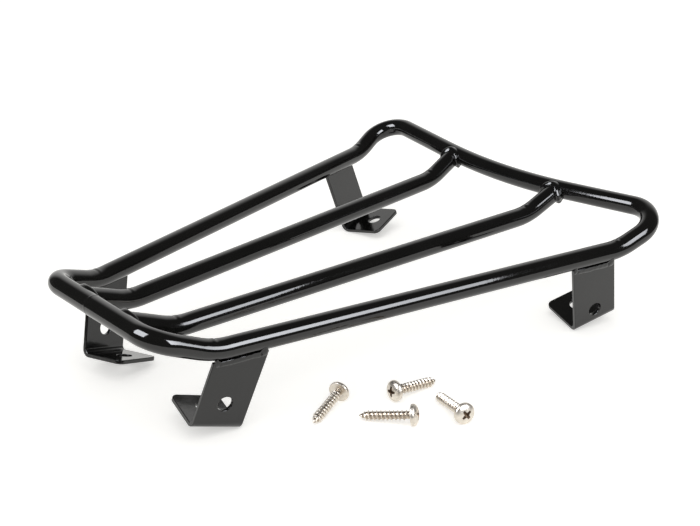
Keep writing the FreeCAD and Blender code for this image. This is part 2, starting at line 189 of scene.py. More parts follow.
def powder_coat(name, peel, rough_low, rough_high):
    """Gloss black powder coat: orange peel, faint dust and uneven gloss."""
    nodes = Nodes(name)
    clouds = nodes.noise(scale=38.0, detail=3.0)
    dust = nodes.noise(scale=2600.0, detail=1.0)
    base = nodes.colours(clouds, (0.3, COAT_DARK), (0.7, COAT_LIGHT))
    speck = nodes.span(dust, low=0.0, high=0.03, start=0.72, end=0.86)
    mix = nodes.tree.nodes.new("ShaderNodeMix")
    mix.data_type = "RGBA"
    nodes.tree.links.new(speck, mix.inputs["Factor"])
    nodes.tree.links.new(base, mix.inputs["A"])
    mix.inputs["B"].default_value = DUST
    nodes.feed("Base Color", mix.outputs["Result"])
    gloss = nodes.noise(scale=95.0, detail=4.0, rough=0.6)
    nodes.feed("Roughness", nodes.span(gloss, rough_low, rough_high))
    broad = nodes.bump(nodes.noise(scale=330.0), peel * 3.0)
    fine = nodes.bump(nodes.noise(scale=1150.0), peel, below=broad)
    nodes.feed("Normal", fine)
    nodes.shader.inputs["IOR"].default_value = COAT_IOR
    return nodes.material


def nickel(name, dull, bright):
    """Warm plated steel with fine turning marks and dull patches."""
    nodes = Nodes(name)
    stain = nodes.noise(scale=420.0, detail=4.0, rough=0.6)
    nodes.feed("Base Color", nodes.colours(stain, (0.3, dull), (0.7, bright)))
    nodes.shader.inputs["Metallic"].default_value = 1.0
    turned = nodes.noise(scale=900.0, place=nodes.stretched(TURNED))
    nodes.feed("Roughness", nodes.span(stain, low=0.28, high=0.40))
    grain = nodes.bump(turned, distance=1.2e-5)
    nodes.feed("Normal", nodes.bump(nodes.noise(scale=2400.0), distance=6e-6, below=grain))
    return nodes.material


def paper_floor():
    """Matt white paper. It glows a little, so the shadows on it stay pale."""
    nodes = Nodes("paper_floor")
    tone = nodes.noise(scale=3.0)
    nodes.feed("Base Color", nodes.colours(tone, (0.0, PAPER_DARK), (1.0, PAPER_LIGHT)))
    nodes.feed("Roughness", nodes.span(nodes.noise(scale=60.0), low=0.85, high=0.95))
    nodes.feed("Normal", nodes.bump(nodes.noise(scale=1500.0), distance=2e-6))
    nodes.shader.inputs["Specular IOR Level"].default_value = 0.0
    nodes.shader.inputs["Emission Color"].default_value = WARM_WHITE
    nodes.shader.inputs["Emission Strength"].default_value = PAPER_GLOW
    return nodes.material


def recess_shade():
    """The dull inside of a screw's cross recess, coloured dark brown as painted shade."""
    nodes = Nodes("recess_nickel_painted_shade")
    mottle = nodes.noise(scale=1500.0, detail=3.0)
    nodes.feed("Base Color", nodes.colours(mottle, (0.3, RECESS_SHADE_DARK), (0.7, RECESS_SHADE_LIGHT)))
    nodes.shader.inputs["Metallic"].default_value = 1.0
    nodes.feed("Roughness", nodes.span(mottle, low=0.45, high=0.6))
    nodes.feed("Normal", nodes.bump(mottle, distance=8e-6))
    return nodes.material


TUBE_COAT = powder_coat("gloss_black_tube", peel=5e-6, rough_low=0.05, rough_high=0.095)
STRIP_COAT = powder_coat("gloss_black_strip", peel=8e-6, rough_low=0.10, rough_high=0.17)
WELD_COAT = powder_coat("gloss_black_weld", peel=9e-6, rough_low=0.09, rough_high=0.16)
SCREW_STEEL = nickel("nickel_screw", dull=(0.59, 0.54, 0.47), bright=(0.78, 0.725, 0.645))
# The darker steel of the thread grooves is painted shade.
ROOT_SHADE_STEEL = nickel("nickel_root_painted_shade", dull=(0.28, 0.225, 0.17), bright=(0.40, 0.335, 0.265))
RECESS_STEEL = recess_shade()

# ---------------------------------------------------------------- mesh helpers

# A face with more square metres than this counts as large and flat.
FLAT_AREA = 60e-6
# The last part of a weld bead, as a share of its half length, rounds off.
TAPER_START = 0.9
TAPER_LENGTH = 0.1
# Each seed moves the noise this far along X, Y and Z. The welds count their
# seeds from these.
SEED_STEPS = (7.3, 3.1, 1.7)
SEAM_SEED = 1
BAR_SEED = 11
FOOT_SEED = 60


def make_piece(name, verts, faces, material, slot, sharp=None):
    """A piece of the rack from points in millimetres."""
    mesh = bpy.data.meshes.new(name)
    mesh.from_pydata([Vector(point) * MM for point in verts], [], faces)
    return finish_piece(name, mesh, material, sharp)


def finish_piece(name, mesh, material, sharp=None, body="rack"):
    """The visible piece for the node of that name, from a mesh in metres. Edges
    are sharp from that many degrees, and otherwise the shading is smooth."""
    edit = bmesh.new()
    edit.from_mesh(mesh)
    bmesh.ops.recalc_face_normals(edit, faces=edit.faces)
    edit.to_mesh(mesh)
    edit.free()
    mesh.polygons.foreach_set("use_smooth", [True] * len(mesh.polygons))
    if sharp is not None:
        mesh.set_sharp_from_angle(angle=math.radians(sharp))
    hold_flats(mesh)
    mesh.materials.append(material)
    piece = bpy.data.objects.new(name + "_skin", mesh)
    bpy.context.collection.objects.link(piece)
    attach(piece, body)
    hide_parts(name)
    return piece


def hold_flats(mesh):
    """Large flat faces are shaded flat right up to their edges."""
    edit = bmesh.new()
    edit.from_mesh(mesh)
    for face in edit.faces:
        if face.calc_area() > FLAT_AREA:
            for edge in face.edges:
                edge.smooth = False
    edit.to_mesh(mesh)
    edit.free()


def grid_faces(rows, columns, row_loop=False):
    """Quads over points kept row by row, each row a closed ring. The rows are
    joined to a ring as well, or the first and the last are closed by a cap."""
    faces = []
    for row in range(rows if row_loop else rows - 1):
        here, after = row * columns, (row + 1) % rows * columns
        for column in range(columns):
            beside = (column + 1) % columns
            faces.append((here + column, here + beside, after + beside, after + column))
    if not row_loop:
        faces.append(tuple(range(columns)))
        faces.append(tuple(range((rows - 1) * columns, rows * columns)))
    return faces


def lumps(place, size, seed):
    """Smooth noise from -1 to 1 at a place, with features of that size."""
    return noise.noise(Vector(place) / size + Vector([seed * step for step in SEED_STEPS]))


def end_taper(part):
    """1 along a bead, rounding off to 0 at its ends, where part is -1 and 1."""
    past = max(0.0, abs(part) - TAPER_START) / TAPER_LENGTH
    return math.sqrt(max(0.0, 1 - past ** 2))


def smooth_step(value):
    value = min(max(value, 0.0), 1.0)
    return value * value * (3.0 - 2.0 * value)


# ---------------------------------------------------------------- centre lines

RUN_STEP = 1.5
ARC_STEP = 1.0


def on_rack(along, across):
    """A centre line point from its flat layout: both ends slope up."""
    if along < NARROW:
        slope = NARROW - along
        x = NARROW - slope * math.cos(NARROW_RISE)
        return Vector((x, across, DECK + slope * math.sin(NARROW_RISE)))
    if along > WIDE:
        slope = along - WIDE
        x = WIDE + slope * math.cos(WIDE_RISE)
        return Vector((x, across, DECK + slope * math.sin(WIDE_RISE)))
    return Vector((along, across, DECK))


def rail_y(along):
    return RAIL_HALF + math.tan(RAIL_ANGLE) * along


def bar_y(along):
    return BAR_HALF + math.tan(BAR_ANGLE) * along


def rounded(corners):
    """Points along the runs and arcs through (corner, radius) pairs, and the
    bends as (middle, direction to the inside, radius)."""
    points = [corners[0][0].copy()]
    bends = []

    def run_to(target):
        start = points[-1].copy()
        count = max(1, round((target - start).length / RUN_STEP))
        for index in range(1, count + 1):
            points.append(start.lerp(target, index / count))

    for index in range(1, len(corners) - 1):
        corner, radius = corners[index]
        back = (corners[index - 1][0] - corner).normalized()
        ahead = (corners[index + 1][0] - corner).normalized()
        turn = math.pi - back.angle(ahead)
        reach = radius * math.tan(turn / 2)
        inward = (back + ahead).normalized()
        centre = corner + inward * (radius / math.cos(turn / 2))
        enter = corner + back * reach
        run_to(enter)
        count = max(4, round(radius * turn / ARC_STEP))
        first = enter - centre
        side = -back
        for part in range(1, count + 1):
            angle = turn * part / count
            points.append(centre + first * math.cos(angle) + side * (radius * math.sin(angle)))
        bends.append((centre - inward * radius, inward, radius))
    run_to(corners[-1][0])
    return points, bends


TUBE_SIDES = 56
# Only bends tighter than this mark the tube, and only this near to them.
MARKED_BEND = 100
MARK_REACH = 30
# How much a bend flattens the tube, and how far that spreads along it.
FLATTENING = 0.12
FLATTENED_LENGTH = 9.0
# (height, place along the tube, half width) of the ridge and of the groove.
CREASE = ((0.26, 1.2, 0.9), (-0.22, -0.9, 1.0))
CREASE_POWER = 9


def tube_mesh(points, bends):
    """A bent tube: it flattens a little in its bends, and the inside of each
    fold shows a small crease from the bending tool."""
    path = np.array([tuple(point) for point in points])
    ahead = np.gradient(path, axis=0)
    ahead /= np.linalg.norm(ahead, axis=1)[:, None]
    side = np.cross(ahead[0], (0.0, 0.0, 1.0))
    side /= np.linalg.norm(side)
    turns = np.linspace(0, 2 * math.pi, TUBE_SIDES, endpoint=False)
    rings = []
    for place, tangent in zip(path, ahead):
        side = side - tangent * side.dot(tangent)
        side /= np.linalg.norm(side)
        other = np.cross(tangent, side)
        spokes = np.outer(np.cos(turns), side) + np.outer(np.sin(turns), other)
        size = np.full(TUBE_SIDES, TUBE)
        for middle, inward, radius in bends:
            offset = place - np.array(middle)
            away = np.linalg.norm(offset)
            if radius > MARKED_BEND or away > MARK_REACH:
                continue
            facing = spokes @ np.array(inward)
            near = math.exp(-((away / FLATTENED_LENGTH) ** 2))
            size -= FLATTENING * near * (2 * facing ** 2 - 1)
            if radius != FOLD_RADIUS:
                continue
            signed = float(offset @ tangent)
            inside = np.clip(facing, 0, 1) ** CREASE_POWER
            for height, centre, half in CREASE:
                size += inside * height * math.exp(-(((signed - centre) / half) ** 2))
        rings.append(place + spokes * size[:, None])
    verts = [tuple(point) for ring in rings for point in ring]
    return verts, grid_faces(len(rings), TUBE_SIDES)


# ----------------------------------------------------------------- outer frame

# The back rail is two straight runs, WIDE_SWEEP off square, that a wide arc
# joins in the middle. The runs would cross at BACK_MID, and each meets its rail
# at BACK_CORNER.
ARC_DROP = WIDE_ARC * (1 / math.cos(WIDE_SWEEP) - 1)
BACK_MID = WIDE_END - ARC_DROP
SWEEP_SLOPE = math.tan(WIDE_SWEEP)
RAIL_SLOPE = math.tan(RAIL_ANGLE)
OUT_STEP = rail_y(WIDE) - RAIL_SLOPE * WIDE
BACK_CORNER = (BACK_MID + SWEEP_SLOPE * OUT_STEP) / (1 - SWEEP_SLOPE * RAIL_SLOPE)


def build_outer_frame():
    half = [
        (on_rack(NARROW_END, rail_y(NARROW_END)), NARROW_CORNER),
        (on_rack(NARROW, rail_y(NARROW)), FOLD_RADIUS),
        (on_rack(WIDE, rail_y(WIDE)), FOLD_RADIUS),
        (on_rack(BACK_CORNER, rail_y(BACK_CORNER)), WIDE_CORNER),
    ]
    mirrored = [(Vector((point.x, -point.y, point.z)), radius) for point, radius in half]
    loop = half + [(on_rack(BACK_MID, 0), WIDE_ARC)] + mirrored[::-1]
    seam = (
        (on_rack(NARROW_END, SEAM_PLACE + SEAM_GAP / 2), 0),
        (on_rack(NARROW_END, SEAM_PLACE - SEAM_GAP / 2), 0),
    )
    points, bends = rounded([seam[0]] + loop + [seam[1]])
    make_piece("outer_frame", *tube_mesh(points, bends), TUBE_COAT, "coated_tube")


def build_seam_weld():
    """A low ring of weld round the butt joint of the narrow crossbar."""
    middle = on_rack(NARROW_END, SEAM_PLACE)
    around, across, reach, deep, sunk = 96, 13, 1.2, 1.0, 0.02
    wander_size, low, change = 0.25, 0.11, 0.05
    verts = []
    for turn in range(around):
        angle = 2 * math.pi * turn / around
        spoke = Vector((math.cos(angle), 0, math.sin(angle)))
        wander = wander_size * lumps(spoke * 6, 3.0, SEAM_SEED)
        tall = low + change * lumps(spoke * 6, 2.2, SEAM_SEED + 1)
        for step in range(across):
            part = 2 * step / (across - 1) - 1
            size = TUBE - sunk + tall * math.cos(part * math.pi / 2) ** 2
            verts.append(middle + spoke * size + Vector((0, part * reach + wander, 0)))
        # The root of the bead, inside the tube.
        for part in (0.9, -0.9):
            root = Vector((0, part * reach + wander, 0))
            verts.append(middle + spoke * (TUBE - deep) + root)
    faces = grid_faces(around, across + 2, row_loop=True)
    make_piece("weld_frame_seam", verts, faces, WELD_COAT, "coated_weld")


# ------------------------------------------------------------------ inner bars

# The welds round the bar ends. Each size is (plain size, change by noise, size
# of the noise's features), in mm: how far the bead bulges out of the corner, and
# how far its toes reach along the bar and round the other tube.
BEAD_BULGE = (2.2, 0.6, 2.6)
BAR_TOE = (2.9, 0.45, 3.0)
TUBE_TOE = (2.6, 0.55, 3.0)
BEAD_RIPPLE = 0.10
BEAD_RIPPLES = 15
# How far each toe, and its root under it, sit inside the tubes, and how far the
# root of the middle sits behind the corner.
TOE_SINK = 0.03
ROOT_SINK = 1.1
CORNER_SINK = 1.6
# How far along the tube the bead leaves each toe, as a share of the toe's reach.
TOE_LEAN = 0.6


def saddle_bead(tip, heading, cross, size, seed):
    """The weld round a bar end, on the corner between the bar and the tube it
    meets. Its two toes run out smoothly on both tubes."""
    up = heading.cross(cross).normalized()
    flat = up.cross(heading).normalized()
    # The corner line is softened where the two tubes run side by side.
    around, across, soft = 150, 13, 2.2

    def on_bar(angle):
        spoke = flat * math.cos(angle) + up * math.sin(angle)
        reach = math.sqrt((TUBE * math.cos(angle)) ** 2 + soft ** 2)
        return tip + spoke * TUBE + heading * reach, spoke

    def push(point, axis_point, axis, radius):
        away = point - axis_point
        away = away - axis * away.dot(axis)
        return point + away.normalized() * (radius - away.length)

    verts = []
    for turn in range(around):
        angle = 2 * math.pi * turn / around
        place, spoke = on_bar(angle)
        tangent = (on_bar(angle + 0.01)[0] - on_bar(angle - 0.01)[0]).normalized()
        outward = place - tip
        outward = (outward - cross * outward.dot(cross)).normalized()
        along = tangent.cross(spoke).normalized()
        along = along if along.dot(heading) > 0 else -along
        over = tangent.cross(outward).normalized()
        over = over if over.dot(spoke - heading) > 0 else -over
        # Smooth over the top, and rougher down the sides and below.
        rough = 0.12 + 0.88 * smooth_step((0.75 - spoke.z) / 0.8)
        wave = angle * BEAD_RIPPLES + 1.5 * lumps(place, 4.0, seed)
        ripple = BEAD_RIPPLE * rough * math.sin(wave)
        plain, change, grain = BEAD_BULGE
        bulge = plain * size + change * rough * lumps(place, grain, seed + 1) + ripple
        plain, change, grain = BAR_TOE
        bar_toe = plain * size + change * rough * lumps(place, grain, seed + 2) + ripple
        plain, change, grain = TUBE_TOE
        tube_toe = plain + change * rough * lumps(place, grain, seed + 3) + ripple
        start = push(place + along * bar_toe, tip, heading, TUBE - TOE_SINK)
        finish = push(place + over * tube_toe, tip, cross, TUBE - TOE_SINK)
        lift = (spoke + outward).normalized()
        # A Bezier curve from toe to toe, that leaves along each tube.
        for step in range(across):
            part = step / (across - 1)
            rest = 1 - part
            point = start * rest ** 3
            point += (start - along * bar_toe * TOE_LEAN) * (3 * part * rest ** 2)
            far = (finish - over * tube_toe * TOE_LEAN) * (3 * part ** 2 * rest)
            point += far + finish * part ** 3
            verts.append(point + lift * bulge * math.sin(math.pi * part) ** 1.1)
        verts.append(finish - outward * ROOT_SINK)
        verts.append(place - lift * CORNER_SINK)
        verts.append(start - spoke * ROOT_SINK)
    return verts, grid_faces(around, across + 3, row_loop=True)


def build_inner_bars():
    back_centre = WIDE_END + WIDE_ARC
    for side_number, (side, sign) in enumerate((("left", 1), ("right", -1))):
        # Where the bar meets the back rail's arc, found step by step.
        along = WIDE_END
        for _ in range(20):
            along = back_centre - math.sqrt(WIDE_ARC ** 2 - bar_y(along) ** 2)
        corners = [
            (on_rack(NARROW_END, sign * bar_y(NARROW_END)), 0),
            (on_rack(NARROW, sign * bar_y(NARROW)), FOLD_RADIUS),
            (on_rack(WIDE, sign * bar_y(WIDE)), FOLD_RADIUS),
            (on_rack(along, sign * bar_y(along)), 0),
        ]
        points, bends = rounded(corners)
        # Each end stops a step short of the centre line that it is welded to.
        points = points[1:-1]
        make_piece("inner_bar_" + side, *tube_mesh(points, bends), TUBE_COAT, "coated_tube")
        spread = math.asin(bar_y(along) / WIDE_ARC)
        # end: (tip, next corner, direction of the other tube, size of the weld)
        ends = {
            "narrow": (corners[0][0], corners[1][0], Vector((0, 1, 0)), 0.72),
            "wide": (corners[3][0], corners[2][0], back_direction(sign * spread), 1.0),
        }
        for number, (end, (tip, inner, cross, size)) in enumerate(ends.items()):
            heading = (inner - tip).normalized()
            seed = BAR_SEED + 20 * side_number + 5 * number
            bead = saddle_bead(tip, heading, cross, size, seed)
            make_piece("weld_bar_%s_%s" % (end, side), *bead, WELD_COAT, "coated_weld")


def back_direction(spread):
    """Direction of the back rail's arc, this far round from its middle."""
    flat = Vector((math.sin(spread), math.cos(spread), 0))
    uphill = Vector((math.cos(WIDE_RISE), 0, math.sin(WIDE_RISE)))
    return (uphill * flat.x + Vector((0, flat.y, 0))).normalized()


# -------------------------------------------------------------------- brackets

BEND_PARTS = 12
CORNER_PARTS = 10
CUTTER_SIDES = 64
CUTTER_LENGTH = 12
# Every sharp edge is eased by this much, in so many steps, where it turns by
# more than this many degrees.
STRIP_EASE = (0.38, 3, 35)
HEAD_EASE = (0.10, 2, 40)
# Sharp edges stay sharp in the shading from these angles on.
STRIP_SHARP = 32
WELD_SHARP = 55
SCREW_SHARP = 38


def foot_frame(end):
    """Directions and outer corner of a bracket on the right rail."""
    place, pitch, lean, _ = FEET[end]
    turn = Matrix.Rotation(-RAIL_ANGLE, 3, "Z")
    turn = turn @ Matrix.Rotation(lean, 3, "X") @ Matrix.Rotation(-pitch, 3, "Y")
    width = turn @ Vector((1, 0, 0))
    inward = turn @ Vector((0, 1, 0))
    upward = turn @ Vector((0, 0, 1))
    bend = FOOT_BEND + FOOT_THICK
    under = abs(width.z) * FOOT_WIDTH / 2
    under = under + bend * math.sqrt(1 - width.z ** 2) - bend * (upward.z + inward.z)
    outward = Vector((-math.sin(RAIL_ANGLE), -math.cos(RAIL_ANGLE), 0))
    hinge = Vector((place, -rail_y(place), DECK)) + outward * FOOT_OFFSET
    corner = hinge - upward * ((DECK - under) / upward.z)
    return width, inward, upward, outward, corner


def arc_points(centre, radius, start, end, count):
    """Points round an arc, from one angle to another in degrees."""
    for index in range(count + 1):
        angle = math.radians(start + (end - start) * index / count)
        yield (centre[0] + radius * math.cos(angle), centre[1] + radius * math.sin(angle))


def strip_mesh(end):
    """The bent strip, in its own directions: X width, Y inward, Z up."""
    outer = FOOT_BEND + FOOT_THICK
    centre = (outer, outer)
    outline = [(FOOT_TAB, 0), (FOOT_TAB, FOOT_THICK)]
    outline += arc_points(centre, FOOT_BEND, 270, 180, BEND_PARTS)
    outline += [(FOOT_THICK, FOOT_TALL), (0, FOOT_TALL)]
    outline += arc_points(centre, outer, 180, 270, BEND_PARTS)
    edit = bmesh.new()
    rows = []
    for across in (-FOOT_WIDTH / 2, FOOT_WIDTH / 2):
        rows.append([edit.verts.new((across, y, z)) for y, z in outline])
    count = len(outline)
    edit.faces.new(rows[0])
    edit.faces.new(rows[1][::-1])
    for index in range(count):
        after = (index + 1) % count
        edit.faces.new((rows[0][index], rows[1][index], rows[1][after], rows[0][after]))
    bmesh.ops.recalc_face_normals(edit, faces=edit.faces)
    # The two upright edges at the end of the tab are rounded off.
    corners = []
    for edge in edit.edges:
        first, second = (vert.co for vert in edge.verts)
        at_end = abs(first.y - FOOT_TAB) < 0.01 and abs(second.y - FOOT_TAB) < 0.01
        if at_end and abs(first.x - second.x) < 0.01:
            corners.append(edge)
    bmesh.ops.bevel(
        edit, geom=corners, offset=FOOT_CORNER, segments=CORNER_PARTS, profile=0.5, affect="EDGES"
    )
    width, inward, upward, _, corner = foot_frame(end)
    # The top is cut level, just under the rail.
    level = Vector((width.z, inward.z, upward.z))
    top = Vector((0, 0, (DECK - FOOT_TOP - corner.z) / upward.z))
    whole = edit.verts[:] + edit.edges[:] + edit.faces[:]
    bmesh.ops.bisect_plane(edit, geom=whole, plane_co=top, plane_no=level, clear_outer=True)
    open_edges = [edge for edge in edit.edges if edge.is_boundary]
    bmesh.ops.holes_fill(edit, edges=open_edges)
    bmesh.ops.recalc_face_normals(edit, faces=edit.faces)
    mesh = bpy.data.meshes.new("strip")
    edit.to_mesh(mesh)
    edit.free()
    return mesh


def hole_cutter(start, heading):
    """A round cutter for a screw hole, from start along heading."""
    edit = bmesh.new()
    turn = Vector((0, 0, 1)).rotation_difference(heading).to_matrix().to_4x4()
    bmesh.ops.create_cone(
        edit,
        cap_ends=True,
        segments=CUTTER_SIDES,
        radius1=HOLE_RADIUS,
        radius2=HOLE_RADIUS,
        depth=CUTTER_LENGTH,
        matrix=Matrix.Translation(start + heading * (CUTTER_LENGTH / 2)) @ turn,
    )
    mesh = bpy.data.meshes.new("cutter")
    edit.to_mesh(mesh)
    edit.free()
    return mesh


def carve(mesh, cutters, ease_by):
    """The mesh with every cutter taken away and its sharp edges eased by
    (width, steps, angle from which an edge is sharp)."""
    width, segments, limit = ease_by
    work = bpy.data.objects.new("work", mesh)
    bpy.context.collection.objects.link(work)
    spare = []
    for cutter in cutters:
        tool = bpy.data.objects.new("tool", cutter)
        bpy.context.collection.objects.link(tool)
        step = work.modifiers.new("carve", "BOOLEAN")
        step.operation = "DIFFERENCE"
        step.solver = "EXACT"
        step.object = tool
        spare.append(tool)
    ease = work.modifiers.new("ease", "BEVEL")
    ease.width = width
    ease.segments = segments
    ease.limit_method = "ANGLE"
    ease.angle_limit = math.radians(limit)
    bpy.context.view_layer.update()
    view = work.evaluated_get(bpy.context.evaluated_depsgraph_get())
    result = bpy.data.meshes.new_from_object(view)
    for thing in spare + [work]:
        bpy.data.objects.remove(thing)
    return result


def place_mesh(mesh, width, inward, upward, corner, flip):
    """Move a mesh from a bracket's own directions to its place on the right
    rail, or by flip to the left one, and scale it to metres."""
    turn = Matrix((width, inward, upward)).transposed().to_4x4()
    move = Matrix.Translation(corner) @ turn
    if flip:
        move = Matrix.Diagonal((1, -1, 1, 1)) @ move
    mesh.transform(Matrix.Scale(MM, 4) @ move)


def outer_weld(base, rail, outward, lean, seed):
    """The flat weld over the top of an upright. It leaves a dark crevice under
    the rail, and only its two ends reach up and join the rail."""
    rows, face_points, half, sunk = 96, 15, 15.5, 0.03
    # Heights are from the rail's centre line. The lip runs a little uphill.
    foot_height, foot_drop, foot_change, foot_grain = -5.7, 2.5, 0.5, 5.0
    lip_height, lip_climb, lip_change, lip_grain = -4.95, 0.45, 0.4, 2.4
    plain_swell, swell_change, end_swell = 0.42, 0.16, 0.5
    # The ends begin at these shares of the half length, and are full one
    # end_length further on, where they reach end_climb higher.
    right_end, left_end, end_length, end_climb = 0.66, 0.74, 0.2, 2.7
    slope = math.tan(lean)
    verts = []
    for row in range(rows):
        part = 2 * row / (rows - 1) - 1
        place = part * half
        tip = end_taper(part)
        wave = lumps((place, 0, 0), lip_grain, seed)
        wide = lumps((place, 9, 0), foot_grain, seed + 1)
        end = smooth_step((abs(part) - (right_end if part > 0 else left_end)) / end_length)
        low = foot_height - (foot_drop + foot_change * wide) * (0.35 + 0.65 * tip)
        high = lip_height + lip_climb * part - lip_change * wave + (end_climb * tip) * end
        swell = (plain_swell + swell_change * wave + end_swell * end) * max(tip, 0.05)
        skin = []
        for step in range(face_points):
            rise = step / (face_points - 1)
            z = low + (high - low) * rise
            face = FOOT_OFFSET + z * slope
            tube = math.sqrt(max(0.0, (TUBE - 0.05) ** 2 - z * z))
            wall = max(face, tube) if end > 0.5 else face + (tube - face) * end * rise
            # The middle swells to a rolled lip, and the ends to a round bead.
            lip = math.sin(math.pi / 2 * min(1.0, rise / 0.5)) ** 0.8 * (1 - 0.2 * rise ** 2)
            crown = lip + (max(0.0, math.sin(math.pi * rise)) ** 0.8 - lip) * end
            skin.append((wall + swell * crown - sunk, z))
        # The back of the bead, inside the strip.
        (foot, _), (top, top_z) = skin[0], skin[-1]
        skin += [(top - 0.6, top_z - 0.04), (top - 1.6, top_z - 0.3)]
        skin += [(foot - 1.2, low + 0.9), (foot - 0.5, low + 0.1)]
        for away, z in skin:
            verts.append(base + rail * place + outward * away + Vector((0, 0, z)))
    return verts, grid_faces(rows, len(skin))


def inner_weld(base, rail, outward, lean, seed):
    """A plain rippled bead between the rail and the back of an upright."""
    rows, around, half = 72, 24, 13.0
    # Below the rail's centre line and behind the strip, in mm.
    drop, behind = 6.5, 0.5
    size, change, ripple = 1.6, 0.2, 0.07
    away = FOOT_OFFSET - FOOT_TOP * math.tan(lean) - FOOT_THICK - behind
    verts = []
    for row in range(rows):
        part = 2 * row / (rows - 1) - 1
        place = base + rail * (part * half) + outward * away - Vector((0, 0, drop))
        radius = size + change * lumps(place, 2.6, seed) + ripple * math.sin(part * half * 3.6)
        radius *= max(end_taper(part), 0.03)
        for turn in range(around):
            angle = 2 * math.pi * turn / around
            spoke = outward * math.cos(angle) + Vector((0, 0, math.sin(angle)))
            verts.append(place + spoke * radius)
    return verts, grid_faces(rows, around)


def build_brackets():
    for end_number, end in enumerate(FEET):
        place, _, lean, hole_up = FEET[end]
        width, inward, upward, outward, corner = foot_frame(end)
        rail = Vector((math.cos(RAIL_ANGLE), -math.sin(RAIL_ANGLE), 0))
        # The welds sit over the middle of the slanted upright's top.
        shift = -upward.dot(rail) * FOOT_TOP / upward.z
        base = Vector((place, -rail_y(place), DECK)) + rail * shift
        for side_number, side in enumerate(("left", "right")):
            flip = side == "left"
            seed = FOOT_SEED + 8 * end_number + 3 * side_number
            label = end + "_" + side
            side_hole = hole_cutter(Vector((0, -5, hole_up)), Vector((0, 1, 0)))
            tab_hole = hole_cutter(Vector((0, HOLE_IN, -5)), Vector((0, 0, 1)))
            mesh = carve(strip_mesh(end), [side_hole, tab_hole], STRIP_EASE)
            place_mesh(mesh, width, inward, upward, corner, flip)
            finish_piece("bracket_" + label, mesh, STRIP_COAT, STRIP_SHARP)
            for name, weld in (("outer", outer_weld), ("inner", inner_weld)):
                verts, faces = weld(base, rail, outward, lean, seed)
                if flip:
                    verts = [Vector((point.x, -point.y, point.z)) for point in verts]
                node = "weld_foot_%s_%s" % (label, name)
                make_piece(node, verts, faces, WELD_COAT, "coated_weld", WELD_SHARP)
                seed += 2


# ---------------------------------------------------------------------- screws

# One turn of the thread: (share of the pitch, share of the thread's height).
THREAD = [(0.0, 0.0), (0.26, 0.0), (0.31, 0.06), (0.455, 0.93), (0.48, 1.0)]
THREAD += [(0.52, 1.0), (0.545, 0.93), (0.69, 0.06), (0.74, 0.0)]
# The shank's top goes this far into the head, and the thread begins this far
# below it.
SHANK_IN_HEAD = 0.4
THREAD_BELOW = 1.2
# Points of the shank nearer than this are merged.
MERGE_DISTANCE = 0.002
# The rounded lower edge of the head, as (radius, height).
HEAD_EDGE = [(2.0, 0.0), (4.4, 0.0), (5.7, 0.0), (5.98, 0.06), (6.17, 0.22)]
HEAD_EDGE += [(HEAD_RADIUS, 0.45), (HEAD_RADIUS, 0.9)]
DOME_STEPS = 18
# The recess at four heights: (height, share of its length, share of its width).
RECESS_LEVELS = (
    (HEAD_TALL + 0.6, 1.16, 1.12),
    (HEAD_TALL - 0.45 * RECESS_DEEP, 0.86, 0.92),
    (HEAD_TALL - 0.85 * RECESS_DEEP, 0.60, 0.75),
    (HEAD_TALL - RECESS_DEEP, 0.30, 0.40),
)
# A face of the head belongs to the recess if it is nearer to the middle than
# this, above this height and this far below the dome.
RECESS_REACH = 1.3 * RECESS_WING
RECESS_FLOOR = 0.5
RECESS_BELOW = 0.14
# The places of the screw's materials in its list.
RECESS_INDEX = 1
ROOT_INDEX = 2


def dome_height(reach):
    """The height of the head's dome, this far from its middle."""
    rise = math.sqrt(max(0.0, 1 - (reach / HEAD_RADIUS) ** 2))
    return HEAD_RIM + (HEAD_TALL - HEAD_RIM) * rise


def shank_mesh():
    """The threaded shank. Rows of points follow the thread's own helix."""
    per_turn = 48
    steps = len(THREAD)
    turns = math.ceil(SCREW_LONG / SCREW_PITCH) + 2
    edit = bmesh.new()

    def point(row, column):
        turn, step = divmod(row, steps)
        share, height = THREAD[step]
        up = (turn - 1 + share + column / per_turn) * SCREW_PITCH
        z = min(max(up - SCREW_LONG, -SCREW_LONG), SHANK_IN_HEAD)
        taper = min(1.0, (z + SCREW_LONG) / SCREW_POINT)
        # The thread grows out of the shank at both of its ends.
        fade = smooth_step((-THREAD_BELOW - z) / 2.0)
        fade *= smooth_step((z + SCREW_LONG) / 2.5 + 0.15)
        radius = SCREW_ROOT * taper ** 0.75
        radius += (SCREW_CREST - SCREW_ROOT) * height * fade * (0.35 + 0.65 * taper)
        radius = radius if z > -SCREW_LONG + 1e-6 else 0.0
        angle = 2 * math.pi * column / per_turn
        return (radius * math.cos(angle), radius * math.sin(angle), z)

    rows = turns * steps
    grid = []
    for row in range(rows):
        grid.append([edit.verts.new(point(row, column)) for column in range(per_turn)])
    for row in range(rows - 1):
        for column in range(per_turn):
            # A full turn round, the thread is one pitch further up.
            last = column == per_turn - 1
            beside = row + steps if last else row
            if beside + 1 >= rows:
                continue
            after = 0 if last else column + 1
            here, there = (grid[row], grid[row + 1]), (grid[beside], grid[beside + 1])
            corners = (here[0][column], there[0][after], there[1][after], here[1][column])
            face = edit.faces.new(corners)
            # The grooves between the threads take a darker steel: painted shade.
            groove = row % steps in (0, steps - 2, steps - 1)
            face.material_index = ROOT_INDEX if groove else 0
    bmesh.ops.remove_doubles(edit, verts=edit.verts[:], dist=MERGE_DISTANCE)
    loose = [vert for vert in edit.verts if not vert.link_faces]
    bmesh.ops.delete(edit, geom=loose, context="VERTS")
    bmesh.ops.holes_fill(edit, edges=[edge for edge in edit.edges if edge.is_boundary])
    mesh = bpy.data.meshes.new("shank")
    edit.to_mesh(mesh)
    edit.free()
    return mesh


